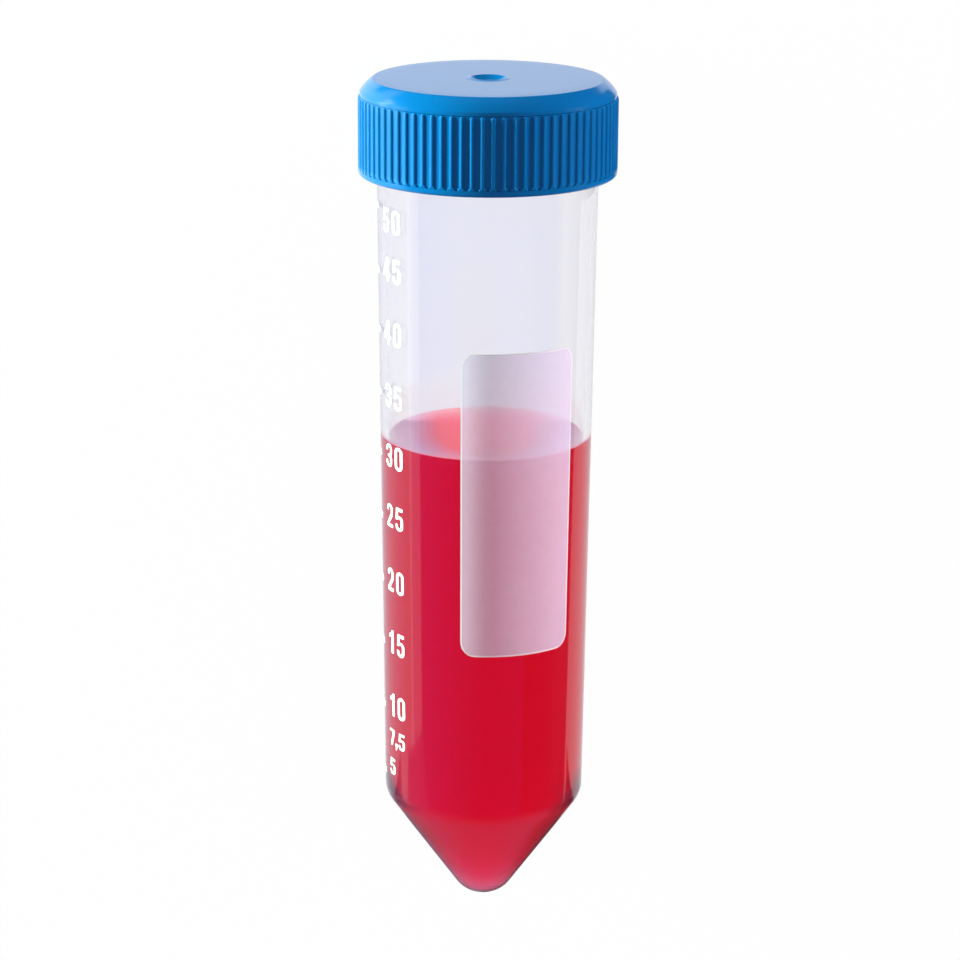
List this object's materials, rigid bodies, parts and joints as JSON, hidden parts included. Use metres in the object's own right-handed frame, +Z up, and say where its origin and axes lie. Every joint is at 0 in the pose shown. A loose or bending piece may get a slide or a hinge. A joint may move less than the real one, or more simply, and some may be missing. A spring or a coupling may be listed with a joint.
{
  "type": "conical centrifuge tube",
  "caption": "Screw-capped conical centrifuge tube with a ribbed cap, a printed volume scale and a writing patch, partly filled with red liquid.",
  "frame": {"origin": "on the surface that the tube lies on, under the middle of its box", "axes": "+Y along the tube towards the cap, which lies 2.4 degrees higher than the cone; +Z up; +X to the right, seen with the cap at the far end"},
  "size_m": [0.035, 0.1178, 0.0354],
  "materials": {
    "clear_plastic": "gloss",
    "blue_plastic": "satin",
    "red_liquid": "gloss",
    "white_ink": "matte"
  },
  "bodies": {
    "tube": {"tube": "clear_plastic", "red_liquid": "red_liquid", "writing_patch": "white_ink"},
    "cap": {"cap": "blue_plastic"}
  },
  "joints": [
    {"name": "cap_lift", "type": "slide", "parent": "tube", "child": "cap", "axis": [0, 0.9991, 0.0413], "range_m": [0, 0.04]}
  ]
}
